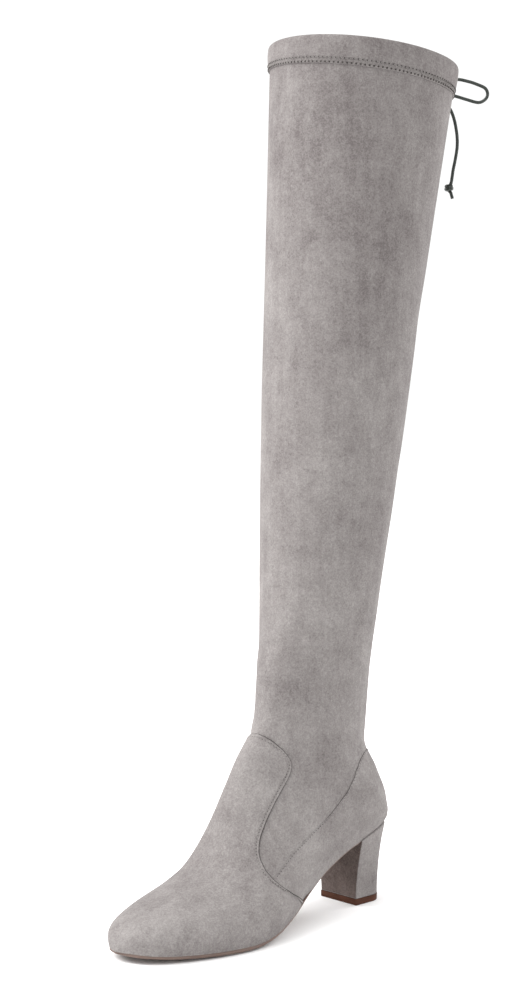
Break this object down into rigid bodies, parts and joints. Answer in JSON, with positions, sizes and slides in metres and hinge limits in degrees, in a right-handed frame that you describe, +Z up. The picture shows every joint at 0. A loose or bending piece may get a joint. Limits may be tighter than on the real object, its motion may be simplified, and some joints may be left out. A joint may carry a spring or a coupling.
{
  "type": "thigh high boot",
  "caption": "Tall pull-on suede boot with an almond toe, a rounded vamp overlay, a heel counter, a covered block heel and a drawcord tied behind the collar.",
  "frame": {"origin": "centre of the heel top piece's floor face", "axes": "-Y towards the toe, +X to the wearer's left, the outer side of this left boot, +Z up the shaft"},
  "size_m": [0.1268, 0.3272, 0.5995],
  "materials": {
    "suede": "brushed suede nap, warm mid grey",
    "sole": "smooth tan sole leather",
    "insole": "smooth tan lining leather",
    "top_piece": "matt red-brown",
    "drawcord": "slightly shiny dark green-grey braid"
  },
  "bodies": {
    "root": {"outsole": "sole", "top_piece": "top_piece", "heel_block": "suede", "insole": "insole", "upper": "suede", "vamp": "suede", "counter": "suede", "top_band": "suede", "bow_knot": "drawcord", "bow_loop_outer": "drawcord", "bow_loop_inner": "drawcord", "cord_end_outer": "drawcord", "cord_end_inner": "drawcord"}
  },
  "joints": []
}
